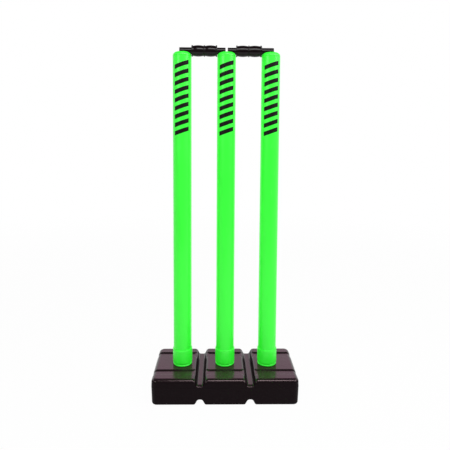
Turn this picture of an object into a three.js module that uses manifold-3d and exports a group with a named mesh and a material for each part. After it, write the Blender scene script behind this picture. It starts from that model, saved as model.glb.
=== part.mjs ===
// Plastic cricket stumps: three stumps stand in one moulded base and carry two bails.
// Millimetres, +Z up, +X to the right, and the front of the base faces -Y.
// The origin is on the ground, under the middle of the base.

import * as THREE from 'three';
import { mergeVertices } from 'three/addons/utils/BufferGeometryUtils.js';
import Module from 'manifold-3d';

const wasm = await Module();
wasm.setup();

// Gaps that several pieces share
const seatGap = 0.3;
const cutOverrun = 4;

// Facets round each kind of turned piece
const stumpSegments = 28;
const bailSegments = 20;
const fillerSegments = 24;
const channelCurveSegments = 5;
const arcSegments = 3;
const diamondSides = 4;

// Layout of the wicket
const stumpPitch = 95.25;
const exposedHeight = 689;

// Stump shaft: a plain extruded tube
const shaftRadius = 20;
const shaftWall = 2;

// Stump top cap: a plug with rounded shoulders and a shallow groove that the bails lie in
const capHeight = 8.7;
const capShoulderRadius = 7.5;
const capTopThickness = 7;
const capPlugLength = 25;
const capPlugWall = 2.5;
const bailGrooveWidth = 20;
const bailGrooveDepth = 4.3;
const bailGrooveSlope = 5;

// Stump foot: a collar round the shaft, and a spigot that drops into the base
const collarHeight = 37;
const collarWall = 1.4;
const collarTopRadius = 0.9;
const collarBottomRadius = 3.5;
const footFloorThickness = 4;
const spigotRadius = 17;
const spigotWall = 2.5;
const spigotTipChamfer = 1.5;
const spigotEndGap = 2;

// Bails: turned barrels with a short inner spigot and a long outer one
const bailSpigotRadius = 7.3;
const bailShortSpigot = 18;
const bailLongSpigot = 26;
const bailTipChamfer = 0.8;
const bailBeadRadius = 12;
const bailBeadWidth = 3;
const bailNeckRadius = 10.6;
const bailSwellRadius = 11.8;
const bailEdgeRound = 0.7;
const bailSwellSteps = 6;

// Base shell: a blow-moulded hollow box, widest at the mould's parting line
const baseEndMargin = 61.5;
const baseDepth = 153;
const baseHeight = 55.5;
const basePartingHeight = 37;
const baseDraftDegrees = 2;
const baseCornerRadius = 12;
const baseTopEdgeRadius = 8;
const baseBottomEdgeRadius = 3.5;
const shellWall = 3;

// Channels that divide the base into three bays, over it and under it
const channelOffset = 5.6;
const topChannelDepth = 13;
const topChannelFloorWidth = 12.4;
const topChannelFloorRound = 3.5;
const topChannelMouthWidth = 34.8;
const topChannelLip = 5;
const underChannelDepth = 11.5;
const underChannelFloorWidth = 10;
const underChannelFloorRound = 4;
const underChannelMouthWidth = 28;
const underChannelLip = 3;

// Shallow cross grooves on top, with cut corners where they meet the channels
const crossGrooveCentre = 41;
const crossGrooveWidth = 18.5;
const crossGrooveDepth = 2.4;
const crossGrooveSlope = 1.2;
const panelCornerCut = 4.5;

// Sockets in the base for the stump feet
const socketUnderSpace = 6.5;

// Filler at the back: a round recess, a neck, and a bung with its seal
const fillerRecessRadius = 17;
const fillerRecessDepth = 8.5;
const fillerHoleRadius = 11;
const fillerNeckLength = 8;
const bungHeadThickness = 2.8;
const bungHeadEdge = 0.8;
const bungHeadGap = 1.5;
const bungStemWall = 2.2;
const bungStemEndGap = 1.5;
const bungGripHeight = 2.4;
const bungGripWidth = 5;
const sealThickness = 1.5;
const sealWidth = 3.2;

// Sand inside the base, up to this height above the shell's floor
const sandDepth = 24;

// Sizes that follow from those above
const baseLength = 2 * (stumpPitch + baseEndMargin);
const stumpTopHeight = baseHeight + exposedHeight;
const collarRadius = shaftRadius + seatGap + collarWall;
const collarBottom = baseHeight + seatGap;
const footFloorTop = collarBottom + footFloorThickness;
const shaftBottom = footFloorTop + seatGap;
const shaftTop = stumpTopHeight - capHeight - seatGap;
const shaftBore = shaftRadius - shaftWall;
const socketRadius = spigotRadius + seatGap;
const socketFloor = shellWall + socketUnderSpace + shellWall;
const spigotBottom = socketFloor + spigotEndGap;
const bailGrooveFloor = stumpTopHeight - bailGrooveDepth;
const bailAxisHeight = bailGrooveFloor + seatGap + bailSpigotRadius;
const bailBarrelLength = stumpPitch - 2 * (shaftRadius + seatGap);
const channelCentre = stumpPitch / 2 + channelOffset;
const fillerHeight = baseHeight / 2;
const fillerRecessFloor = baseDepth / 2 - fillerRecessDepth;
const fillerNeckEnd = fillerRecessFloor - shellWall - fillerNeckLength;
const sealInner = fillerHoleRadius + seatGap;
const sealBack = fillerRecessFloor + seatGap;
const bungHeadBack = sealBack + sealThickness + seatGap;
const bungHeadRadius = fillerRecessRadius - bungHeadGap;
const bungStemRadius = fillerHoleRadius - seatGap;
const bungStemEnd = fillerNeckEnd + bungStemEndGap;

// Turns a closed geometry into a solid that can be joined and cut
function solidOf(geometry) {
  geometry.deleteAttribute('normal');
  geometry.deleteAttribute('uv');
  const merged = mergeVertices(geometry);
  const index = merged.index.array;
  const triangles = [];
  for (let i = 0; i < index.length; i += 3) {
    const [a, b, c] = index.slice(i, i + 3);
    if (a !== b && b !== c && c !== a) triangles.push(a, b, c);
  }
  return new wasm.Manifold(new wasm.Mesh({
    numProp: 3,
    vertProperties: Float32Array.from(merged.attributes.position.array),
    triVerts: Uint32Array.from(triangles),
  }));
}

// Turns a finished solid back into a geometry
function geometryOf(solid) {
  const mesh = solid.getMesh();
  const geometry = new THREE.BufferGeometry();
  geometry.setAttribute('position', new THREE.BufferAttribute(Float32Array.from(mesh.vertProperties), 3));
  geometry.setIndex(new THREE.BufferAttribute(Uint32Array.from(mesh.triVerts), 1));
  geometry.computeVertexNormals();
  return geometry;
}

// A turned solid about Z: the profile is a closed list of [radius, height] points
function turned(profile, segments) {
  const points = profile.map(([radius, height]) => new THREE.Vector2(radius, height));
  if (THREE.ShapeUtils.area(points) < 0) points.reverse();
  points.push(points[0].clone());
  const geometry = new THREE.LatheGeometry(points, segments);
  geometry.rotateX(Math.PI / 2);
  return solidOf(geometry);
}

// A plain cylinder between two heights
function rod(radius, low, high, segments) {
  return turned([[0, low], [radius, low], [radius, high], [0, high]], segments);
}

// A quarter round from one angle to another, as [radius, height] points
function quarterRound(centreRadius, centreHeight, round, fromDegrees, toDegrees) {
  const points = [];
  for (let step = 0; step <= arcSegments; step += 1) {
    const angle = THREE.MathUtils.degToRad(THREE.MathUtils.lerp(fromDegrees, toDegrees, step / arcSegments));
    points.push([centreRadius + round * Math.cos(angle), centreHeight + round * Math.sin(angle)]);
  }
  return points;
}

// A solid turned about Z, laid along +X or +Y instead
function layAlongX(solid) {
  return solid.rotate([0, 90, 0]);
}

function layAlongY(solid) {
  return solid.rotate([-90, 0, 0]);
}

// A section drawn across and up, run along Y or X and centred there
function prismAlongY(section, length) {
  const geometry = new THREE.ExtrudeGeometry(section, {
    depth: length,
    bevelEnabled: false,
    curveSegments: channelCurveSegments,
  });
  geometry.translate(0, 0, -length / 2);
  geometry.rotateX(Math.PI / 2);
  return solidOf(geometry);
}

function prismAlongX(section, length) {
  const geometry = new THREE.ExtrudeGeometry(section, { depth: length, bevelEnabled: false });
  geometry.translate(0, 0, -length / 2);
  geometry.applyMatrix4(new THREE.Matrix4().makeBasis(
    new THREE.Vector3(0, 1, 0),
    new THREE.Vector3(0, 0, 1),
    new THREE.Vector3(1, 0, 0),
  ));
  return solidOf(geometry);
}

// A block between two corners
function block(low, high) {
  const geometry = new THREE.BoxGeometry(high[0] - low[0], high[1] - low[1], high[2] - low[2]);
  geometry.translate((low[0] + high[0]) / 2, (low[1] + high[1]) / 2, (low[2] + high[2]) / 2);
  return solidOf(geometry);
}

// Subtracts a list of solids from one
function cutAway(solid, cutters) {
  return cutters.reduce((rest, cutter) => rest.subtract(cutter), solid);
}

// The section of a flat-bottomed groove cut down from height zero, grown by a margin
function grooveSection(width, depth, slope, grow) {
  const mouth = width / 2 + grow;
  const floor = mouth - slope;
  const bottom = -depth - grow;
  const shape = new THREE.Shape();
  shape.moveTo(-floor, bottom);
  shape.lineTo(floor, bottom);
  shape.lineTo(mouth, 0);
  shape.lineTo(mouth, cutOverrun);
  shape.lineTo(-mouth, cutOverrun);
  shape.lineTo(-mouth, 0);
  shape.closePath();
  return shape;
}

// Stump shaft
function shaftSolid() {
  return turned([
    [shaftBore, shaftBottom],
    [shaftRadius, shaftBottom],
    [shaftRadius, shaftTop],
    [shaftBore, shaftTop],
  ], stumpSegments);
}

// Stump top cap, hollow from below, with the bail groove across its top
function topCapSolid() {
  const skirt = stumpTopHeight - capHeight;
  const plugBottom = skirt - capPlugLength;
  const plugRadius = shaftBore - seatGap;
  const plugBore = plugRadius - capPlugWall;
  const hollowTop = stumpTopHeight - capTopThickness;
  const shoulder = quarterRound(
    shaftRadius - capShoulderRadius, stumpTopHeight - capShoulderRadius, capShoulderRadius, 0, 90);
  const cap = turned([
    [0, hollowTop],
    [plugBore, hollowTop],
    [plugBore, plugBottom],
    [plugRadius, plugBottom],
    [plugRadius, skirt],
    [shaftRadius, skirt],
    ...shoulder,
    [0, stumpTopHeight],
  ], stumpSegments);
  const section = grooveSection(bailGrooveWidth, bailGrooveDepth, bailGrooveSlope, 0);
  const groove = prismAlongX(section, 2 * (shaftRadius + cutOverrun));
  return cap.subtract(groove.translate([0, 0, stumpTopHeight]));
}

// Stump foot: collar above, hollow spigot below, and a floor between them
function footSolid() {
  const collarTop = collarBottom + collarHeight;
  const collarBore = shaftRadius + seatGap;
  const spigotBore = spigotRadius - spigotWall;
  return turned([
    [0, collarBottom],
    [spigotBore, collarBottom],
    [spigotBore, spigotBottom],
    [spigotRadius - spigotTipChamfer, spigotBottom],
    [spigotRadius, spigotBottom + spigotTipChamfer],
    [spigotRadius, collarBottom],
    ...quarterRound(
      collarRadius - collarBottomRadius, collarBottom + collarBottomRadius, collarBottomRadius, -90, 0),
    ...quarterRound(collarRadius - collarTopRadius, collarTop - collarTopRadius, collarTopRadius, 0, 90),
    [collarBore, collarTop],
    [collarBore, footFloorTop],
    [0, footFloorTop],
  ], stumpSegments);
}

// Half of the barrel's outline, from its inner face to its middle, as [radius, station] points
function halfBarrel() {
  const half = bailBarrelLength / 2;
  const swellStart = bailBeadWidth;
  const swellEnd = half - bailBeadWidth / 2;
  const points = [
    [bailBeadRadius - bailEdgeRound, 0],
    [bailBeadRadius, bailEdgeRound],
    [bailBeadRadius, bailBeadWidth - bailEdgeRound],
    [bailNeckRadius, swellStart],
  ];
  for (let step = 1; step < bailSwellSteps; step += 1) {
    const share = step / bailSwellSteps;
    const rise = Math.sin(Math.PI * share) * (bailSwellRadius - bailNeckRadius);
    points.push([bailNeckRadius + rise, THREE.MathUtils.lerp(swellStart, swellEnd, share)]);
  }
  points.push([bailNeckRadius, swellEnd], [bailBeadRadius, swellEnd + bailEdgeRound]);
  return points;
}

// One bail along +X, with its barrel centred on the origin and the long spigot outwards
function bailSolid() {
  const half = bailBarrelLength / 2;
  const inner = halfBarrel().map(([radius, station]) => [radius, station - half]);
  const outer = inner.map(([radius, station]) => [radius, -station]).reverse();
  const shortTip = -half - bailShortSpigot;
  const longTip = half + bailLongSpigot;
  return layAlongX(turned([
    [0, shortTip],
    [bailSpigotRadius - bailTipChamfer, shortTip],
    [bailSpigotRadius, shortTip + bailTipChamfer],
    [bailSpigotRadius, -half],
    ...inner,
    ...outer,
    [bailSpigotRadius, half],
    [bailSpigotRadius, longTip - bailTipChamfer],
    [bailSpigotRadius - bailTipChamfer, longTip],
    [0, longTip],
  ], bailSegments));
}

// The plan of the base, drawn in by an inset
function planOutline(length, depth, radius) {
  const x = length / 2 - radius;
  const y = depth / 2 - radius;
  const shape = new THREE.Shape();
  shape.absarc(x, y, radius, 0, Math.PI / 2);
  shape.absarc(-x, y, radius, Math.PI / 2, Math.PI);
  shape.absarc(-x, -y, radius, Math.PI, 3 * Math.PI / 2);
  shape.absarc(x, -y, radius, 3 * Math.PI / 2, 2 * Math.PI);
  return shape;
}

// One mould half: it rises from the parting line, drawn in by the draft, to a rounded far edge
function mouldHalf(inset, height, edgeRadius) {
  const edge = edgeRadius - inset;
  const rise = height - inset;
  const slope = Math.tan(THREE.MathUtils.degToRad(baseDraftDegrees));
  const outline = planOutline(
    baseLength - 2 * edgeRadius, baseDepth - 2 * edgeRadius, baseCornerRadius - edgeRadius);
  const geometry = new THREE.ExtrudeGeometry(outline, {
    depth: rise - edge + cutOverrun,
    bevelThickness: edge,
    bevelSize: edge,
    bevelSegments: arcSegments,
    curveSegments: arcSegments,
  });
  geometry.translate(0, 0, -cutOverrun);
  const position = geometry.attributes.position;
  for (let i = 0; i < position.count; i += 1) {
    const drawn = position.getZ(i) * slope;
    position.setX(i, position.getX(i) - Math.sign(position.getX(i)) * drawn);
    position.setY(i, position.getY(i) - Math.sign(position.getY(i)) * drawn);
  }
  const below = block([-baseLength, -baseDepth, -2 * cutOverrun - edge], [baseLength, baseDepth, 0]);
  return solidOf(geometry).subtract(below);
}

// The whole rounded box, drawn in on every side by an inset
function roundedBox(inset) {
  const upper = mouldHalf(inset, baseHeight - basePartingHeight, baseTopEdgeRadius);
  const lower = mouldHalf(inset, basePartingHeight, baseBottomEdgeRadius).rotate([180, 0, 0]);
  return upper.add(lower).translate([0, 0, basePartingHeight]);
}

// The section of a channel cut down from height zero, grown on every side by a margin
function channelSection(floorWidth, mouthWidth, depth, lip, floorRound, grow) {
  const floor = floorWidth / 2 + grow;
  const mouth = mouthWidth / 2 + grow;
  const corner = mouth - lip;
  const bottom = -depth - grow;
  const wallX = (height) => THREE.MathUtils.lerp(corner, floor, height / bottom);
  const wallStart = bottom + floorRound;
  const wallEnd = -lip;
  const shape = new THREE.Shape();
  shape.moveTo(floorRound - floor, bottom);
  shape.lineTo(floor - floorRound, bottom);
  shape.quadraticCurveTo(floor, bottom, wallX(wallStart), wallStart);
  shape.lineTo(wallX(wallEnd), wallEnd);
  shape.quadraticCurveTo(corner, 0, mouth, 0);
  shape.lineTo(mouth, cutOverrun);
  shape.lineTo(-mouth, cutOverrun);
  shape.lineTo(-mouth, 0);
  shape.quadraticCurveTo(-corner, 0, -wallX(wallEnd), wallEnd);
  shape.lineTo(-wallX(wallStart), wallStart);
  shape.quadraticCurveTo(-floor, bottom, floorRound - floor, bottom);
  return shape;
}

// Everything sunk into the outside of the base, grown by a margin
function baseFeatures(grow) {
  const features = [];
  const depthReach = baseDepth + 2 * cutOverrun;
  const lengthReach = baseLength + 2 * cutOverrun;
  for (const side of [-1, 1]) {
    const top = channelSection(
      topChannelFloorWidth, topChannelMouthWidth, topChannelDepth, topChannelLip, topChannelFloorRound, grow);
    const under = channelSection(
      underChannelFloorWidth, underChannelMouthWidth, underChannelDepth, underChannelLip,
      underChannelFloorRound, grow);
    const grooveShape = grooveSection(crossGrooveWidth, crossGrooveDepth, crossGrooveSlope, grow);
    const groove = prismAlongX(grooveShape, lengthReach);
    features.push(
      prismAlongY(top, depthReach).translate([side * channelCentre, 0, baseHeight]),
      prismAlongY(under, depthReach).rotate([0, 180, 0]).translate([side * channelCentre, 0, 0]),
      groove.translate([0, side * crossGrooveCentre, baseHeight]),
    );
  }
  for (const stump of [-1, 0, 1]) {
    const socket = rod(socketRadius + grow, socketFloor - grow, baseHeight + cutOverrun, stumpSegments);
    features.push(socket.translate([stump * stumpPitch, 0, 0]));
  }
  const recess = rod(
    fillerRecessRadius + grow, fillerRecessFloor - grow, baseDepth / 2 + cutOverrun, fillerSegments);
  features.push(layAlongY(recess).translate([0, 0, fillerHeight]));
  return features;
}

// Small diamond cuts that take the corners off the raised panels
function panelCornerCuts() {
  const cuts = [];
  const low = baseHeight - crossGrooveDepth;
  const diamond = rod(panelCornerCut, low, baseHeight + cutOverrun, diamondSides);
  for (const side of [-1, 1]) {
    for (const bank of [-1, 1]) {
      for (const row of [-1, 1]) {
        for (const edge of [-1, 1]) {
          const x = side * channelCentre + bank * (topChannelMouthWidth / 2 - topChannelLip);
          const y = row * crossGrooveCentre + edge * crossGrooveWidth / 2;
          cuts.push(diamond.translate([x, y, 0]));
        }
      }
    }
  }
  return cuts;
}

// The hollow inside the base, drawn in by a wall: it leaves a tube round each socket and the filler neck
function hollow(wall) {
  const neck = rod(fillerHoleRadius + wall, fillerNeckEnd, baseDepth / 2, fillerSegments);
  return cutAway(roundedBox(wall), [...baseFeatures(wall), layAlongY(neck).translate([0, 0, fillerHeight])]);
}

// Base shell
function baseShellSolid() {
  const outside = cutAway(roundedBox(0), [...baseFeatures(0), ...panelCornerCuts()]);
  const hole = rod(fillerHoleRadius, fillerNeckEnd - cutOverrun, baseDepth / 2, fillerSegments);
  return cutAway(outside, [hollow(shellWall), layAlongY(hole).translate([0, 0, fillerHeight])]);
}

// Sand: it fills the hollow up to a level, clear of every wall
function sandSolid() {
  const level = shellWall + sandDepth;
  const above = block([-baseLength, -baseDepth, level], [baseLength, baseDepth, baseHeight + cutOverrun]);
  return hollow(shellWall + seatGap).subtract(above);
}

// Filler bung: a flanged head with a finger grip, on a hollow stem
function bungSolid() {
  const headFront = bungHeadBack + bungHeadThickness;
  const stemBore = bungStemRadius - bungStemWall;
  const body = turned([
    [0, bungHeadBack],
    [stemBore, bungHeadBack],
    [stemBore, bungStemEnd],
    [bungStemRadius, bungStemEnd],
    [bungStemRadius, bungHeadBack],
    [bungHeadRadius, bungHeadBack],
    [bungHeadRadius, headFront - bungHeadEdge],
    [bungHeadRadius - bungHeadEdge, headFront],
    [0, headFront],
  ], fillerSegments);
  const gripReach = bungHeadRadius - 2 * bungHeadEdge;
  const grip = block(
    [-gripReach, -bungGripWidth / 2, headFront - bungHeadEdge],
    [gripReach, bungGripWidth / 2, headFront + bungGripHeight],
  );
  return layAlongY(body.add(grip)).translate([0, 0, fillerHeight]);
}

// Filler seal: a flat ring between the bung's head and the recess
function sealSolid() {
  const ring = turned([
    [sealInner, sealBack],
    [sealInner + sealWidth, sealBack],
    [sealInner + sealWidth, sealBack + sealThickness],
    [sealInner, sealBack + sealThickness],
  ], fillerSegments);
  return layAlongY(ring).translate([0, 0, fillerHeight]);
}

// Materials
function plastic(color, roughness) {
  return new THREE.MeshStandardMaterial({ color, roughness, metalness: 0 });
}

function neonGreenPlastic() {
  return plastic(0x42ff45, 0.3);
}

// A named piece with its own material
function piece(name, solid, material) {
  const mesh = new THREE.Mesh(geometryOf(solid), material);
  mesh.name = name;
  return mesh;
}

const group = new THREE.Group();

// The base and what it holds
group.add(
  piece('base_shell', baseShellSolid(), plastic(0x1c1416, 0.25)),
  piece('sand_ballast', sandSolid(), plastic(0xb59a6a, 0.95)),
  piece('filler_bung', bungSolid(), plastic(0x1a1416, 0.4)),
  piece('filler_seal', sealSolid(), plastic(0x2a2a2c, 0.8)),
);

// The stumps, from left to right
['left', 'middle', 'right'].forEach((place, index) => {
  const stump = new THREE.Group();
  stump.position.x = (index - 1) * stumpPitch;
  stump.add(
    piece(`stump_${place}_shaft`, shaftSolid(), neonGreenPlastic()),
    piece(`stump_${place}_top_cap`, topCapSolid(), neonGreenPlastic()),
    piece(`stump_${place}_foot`, footSolid(), neonGreenPlastic()),
  );
  group.add(stump);
});

// The bails, turned so that each long spigot points outwards
[['left', -1], ['right', 1]].forEach(([place, side]) => {
  const bail = piece(`bail_${place}`, bailSolid(), plastic(0x140e10, 0.35));
  bail.position.set(side * stumpPitch / 2, 0, bailAxisHeight);
  bail.rotation.z = side > 0 ? 0 : Math.PI;
  group.add(bail);
});

export default group;
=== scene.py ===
# %% [markdown]
# # A set of plastic cricket stumps
# Three neon stumps stand in one heavy moulded base and carry two black bails. The model
# that this script dresses is loaded first, as a fixed frame in metres: every finished
# surface takes its size and place from it, so nothing has to be fitted by eye later.

# %% Load the model as a fixed frame
import math

import bmesh
import bpy
import numpy as np
from mathutils import Matrix, Vector


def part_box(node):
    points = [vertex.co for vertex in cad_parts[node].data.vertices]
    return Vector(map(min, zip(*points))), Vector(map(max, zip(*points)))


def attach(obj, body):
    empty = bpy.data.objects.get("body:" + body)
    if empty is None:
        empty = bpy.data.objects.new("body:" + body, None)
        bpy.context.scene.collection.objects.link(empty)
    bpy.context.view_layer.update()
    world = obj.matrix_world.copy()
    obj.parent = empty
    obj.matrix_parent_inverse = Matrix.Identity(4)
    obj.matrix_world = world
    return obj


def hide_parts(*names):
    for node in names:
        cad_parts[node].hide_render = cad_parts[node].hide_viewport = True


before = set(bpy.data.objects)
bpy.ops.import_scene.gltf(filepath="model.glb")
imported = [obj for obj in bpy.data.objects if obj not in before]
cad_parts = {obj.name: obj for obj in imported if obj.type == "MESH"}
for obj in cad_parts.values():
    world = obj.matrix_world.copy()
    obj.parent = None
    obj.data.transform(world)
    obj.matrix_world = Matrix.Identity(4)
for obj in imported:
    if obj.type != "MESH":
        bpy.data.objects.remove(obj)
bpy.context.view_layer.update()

MM = 0.001

# %% [markdown]
# ## The camera
# The photograph looks slightly down on the set from the front, a little left of centre.
# Its place and lens were worked out from the edges of the stumps and the base, whose real
# sizes are known. A camera looks along its own -Z, so its matrix is built from the three
# directions right, up and back. The small vertical shift keeps the stumps nearly upright,
# as a lens on a tall stand would.

# %% The camera
IMAGE_PIXELS = 450
SENSOR_WIDTH = 36.0
CAMERA_PLACE = Vector((-17.8, -949.1, 536.7)) * MM
CAMERA_YAW = math.radians(0.967)
CAMERA_PITCH = math.radians(4.615)
CAMERA_ROLL = math.radians(0.343)
FOCAL_PIXELS = 433.5
SHIFT_PIXELS = -40.0


def add_object(name, data):
    """A new object in the scene."""
    thing = bpy.data.objects.new(name, data)
    bpy.context.scene.collection.objects.link(thing)
    return thing


def aim(yaw, pitch, roll):
    """The camera's right, up and back directions."""
    forward = Vector((
        math.sin(yaw) * math.cos(pitch),
        math.cos(yaw) * math.cos(pitch),
        -math.sin(pitch),
    ))
    level = Vector((math.cos(yaw), -math.sin(yaw), 0.0))
    upright = level.cross(forward)
    right = level * math.cos(roll) + upright * math.sin(roll)
    up = upright * math.cos(roll) - level * math.sin(roll)
    return right, up, -forward


camera_data = bpy.data.cameras.new("photo_camera")
camera_data.sensor_width = SENSOR_WIDTH
camera_data.lens = FOCAL_PIXELS / IMAGE_PIXELS * SENSOR_WIDTH
camera_data.shift_y = SHIFT_PIXELS / IMAGE_PIXELS
camera = add_object("photo_camera", camera_data)
turn = Matrix(aim(CAMERA_YAW, CAMERA_PITCH, CAMERA_ROLL)).transposed().to_4x4()
camera.matrix_world = Matrix.Translation(CAMERA_PLACE) @ turn
bpy.context.scene.camera = camera
print("camera lens: %.1f mm" % camera_data.lens)

# %% [markdown]
# ## Sizes taken from the model
# A box round a piece gives most of what is needed: a turned piece's radius is half of its
# box, and where one piece ends the next begins. Only roundings, walls and other details
# that a box can't show are typed in as real sizes, in the cells that use them. Pieces that
# are put together by hand keep one clearance everywhere.

# %% Sizes of the set
SIDES = ("left", "middle", "right")
base_low, base_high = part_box("base_shell")
stump_places = []
for side in SIDES:
    low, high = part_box(f"stump_{side}_shaft")
    stump_places.append((low.x + high.x) / 2)
shaft_low, shaft_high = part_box("stump_middle_shaft")
cap_low, cap_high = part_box("stump_middle_top_cap")
foot_low, foot_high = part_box("stump_middle_foot")
seal_low, seal_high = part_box("filler_seal")
bung_low, bung_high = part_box("filler_bung")
stump_pitch = stump_places[2] - stump_places[1]
shaft_radius = (shaft_high.x - shaft_low.x) / 2
collar_radius = (foot_high.x - foot_low.x) / 2
stump_top = cap_high.z
CLEARANCE = 0.3 * MM
base_height = base_high.z
base_length = base_high.x - base_low.x
base_depth = base_high.y - base_low.y
print("base %.1f x %.1f x %.1f mm" % (base_length / MM, base_depth / MM, base_height / MM))
print("stump radius %.1f mm, pitch %.2f mm" % (shaft_radius / MM, stump_pitch / MM))

# %% [markdown]
# ## Soft outlines
# Moulded plastic has no sharp corner anywhere. Most shapes here start as a line with few
# corners, and each corner is rounded over a set distance by a short curve that leaves one
# straight run and joins the next. One helper does that for the channels of the base and
# for every turned piece, and most small corners share one of three distances.

# %% A line with rounded corners
FINE_STEPS = 6
ROUND_STEPS = 4
SHORT_STEPS = 3
TIGHT_ROUND = 0.4 * MM
SMALL_ROUND = 0.5 * MM
SOFT_ROUND = 1 * MM


def soft_line(corners, steps=FINE_STEPS):
    """Points along a line whose corners are (across, up, setback)."""
    points = [np.array(corners[0][:2])]
    for before, corner, after in zip(corners, corners[1:], corners[2:]):
        here = np.array(corner[:2])
        back = np.array(before[:2]) - here
        ahead = np.array(after[:2]) - here
        start = here + back / np.linalg.norm(back) * corner[2]
        end = here + ahead / np.linalg.norm(ahead) * corner[2]
        if corner[2] == 0:
            points.append(here)
            continue
        for share in np.linspace(0, 1, steps + 1):
            points.append((1 - share) ** 2 * start + 2 * share * (1 - share) * here + share ** 2 * end)
    points.append(np.array(corners[-1][:2]))
    return np.array(points)


print("a corner takes", len(soft_line([(0, 0, 0), (1, 0, 0.5), (1, 1, 0)])), "points")

# %% [markdown]
# ## The base, 1: sizes
# The base is a hollow box, blown in a two-part mould and filled with sand. Two deep
# channels cross it from front to back and make three bays, shallow grooves run along it,
# and a socket in each bay holds a stump. The mould opens at a line a little above half the
# height, and every wall leans in by two degrees from there, so that the base comes out.
# The skin stays a hair inside the model's box, which leaves room for the ridge that the
# mould's line makes.

# %% Sizes of the mould
RIDGE_ROOM = 0.15 * MM
DRAFT = math.tan(math.radians(2))
PARTING_HEIGHT = 37 * MM
CORNER_RADIUS = 12 * MM
TOP_EDGE = 8 * MM
UNDER_EDGE = 3.5 * MM
SHELL_WALL = 3 * MM


def drawn(z):
    """How far the mould's draft draws a wall in at a height."""
    return abs(z - PARTING_HEIGHT) * DRAFT


print("the walls lean in by %.1f mm up to the top" % (drawn(base_height) / MM))

# %% Sections of the channels and grooves
# A channel is its floor's width, its mouth's width, its depth, its lip and its floor's rounding.
CHANNEL_OFFSET = 5.6 * MM
CHANNEL_CENTRE = stump_pitch / 2 + CHANNEL_OFFSET
CHANNEL_MOUTH = 34.8 * MM
CHANNEL_LIP = 5 * MM
TOP_CHANNEL = (12.4 * MM, CHANNEL_MOUTH, 13 * MM, CHANNEL_LIP, 3.5 * MM)
UNDER_CHANNEL = (10 * MM, 28 * MM, 11.5 * MM, 3 * MM, 4 * MM)
GROOVE_CENTRE = 41 * MM
GROOVE_HALF = 9.25 * MM
GROOVE_DEPTH = 2.4 * MM
GROOVE_SLOPE = 1.2 * MM
GROOVE_ROUND = 0.8 * MM
GROOVE_MARGIN = 2 * MM


def channel_line(channel, grow):
    """Half of a channel's section, from its middle outwards, as (across, depth)."""
    floor, mouth, depth, lip, floor_round = channel
    return soft_line([
        (0, depth + grow, 0),
        (floor / 2 + grow, depth + grow, floor_round),
        (mouth / 2 + grow - lip, 0, lip),
        (mouth / 2 + grow, 0, 0),
    ])


def groove_line(grow):
    """Half of a cross groove's section."""
    mouth = GROOVE_HALF + grow
    return soft_line([
        (0, GROOVE_DEPTH + grow, 0),
        (mouth - GROOVE_SLOPE, GROOVE_DEPTH + grow, GROOVE_ROUND),
        (mouth, 0, GROOVE_ROUND),
        (mouth + GROOVE_MARGIN, 0, 0),
    ])


print("channels at +-%.1f mm, grooves at +-%.1f mm" % (CHANNEL_CENTRE / MM, GROOVE_CENTRE / MM))

# %% [markdown]
# ## The base, 2: how far the mould sinks in
# Seen from above, the base is a height field: each point of the plan has one height. The
# channels, the grooves and the cut corners of the raised panels each give a depth, and
# the deepest wins. A sum of high powers picks the deepest one and rounds the crease where
# two of them meet, as plastic does when it is blown into a mould. The hollow inside is
# the same field, with every feature grown by the wall.

# %% Depths over the plan
BLEND_POWER = 8
PANEL_CUT = 4.5 * MM


def deepest(*depths):
    return sum(depth ** BLEND_POWER for depth in depths) ** (1 / BLEND_POWER)


def across(line, distance):
    """The depth of a section at a distance from its middle."""
    return np.interp(distance, line[:, 0], line[:, 1])


def top_depth(x, y, wall):
    """How far the top lies below the full height of the base."""
    channel = across(channel_line(TOP_CHANNEL, wall), abs(abs(x) - CHANNEL_CENTRE))
    groove = across(groove_line(wall), abs(abs(y) - GROOVE_CENTRE))
    bank = abs(abs(abs(x) - CHANNEL_CENTRE) - (CHANNEL_MOUTH / 2 - CHANNEL_LIP))
    ledge = abs(abs(abs(y) - GROOVE_CENTRE) - GROOVE_HALF)
    cut = np.clip((PANEL_CUT + wall - bank - ledge) / GROOVE_SLOPE + 0.5, 0, 1)
    corner = cut * cut * (3 - 2 * cut) * GROOVE_DEPTH
    return deepest(channel, groove, corner, wall)


def under_depth(x, wall):
    """How far the underside lies above the ground."""
    channel = across(channel_line(UNDER_CHANNEL, wall), abs(abs(x) - CHANNEL_CENTRE))
    return deepest(channel, wall)


middle_depth = top_depth(np.array([0.0, CHANNEL_CENTRE]), np.array([0.0, 0.0]), 0.0)
print("depth at a panel and in a channel: %.1f, %.1f mm" % tuple(middle_depth / MM))

# %% [markdown]
# ## The base, 3: a skin of woven quads
# A boolean would leave ragged faces round each socket, and they show on a glossy surface.
# So the skin is woven: a grid on top, rings down the wall, a grid below. Where a hole is
# needed, a square of the grid is left out, and rings lead from its border to the round
# edge of the hole and down its wall. The same few helpers make all of it.

# %% Helpers for a woven skin
LINE_GAP = 0.35 * MM
LEAD_IN_SHARES = (0.35, 0.7)
TINY = 1e-6


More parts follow.
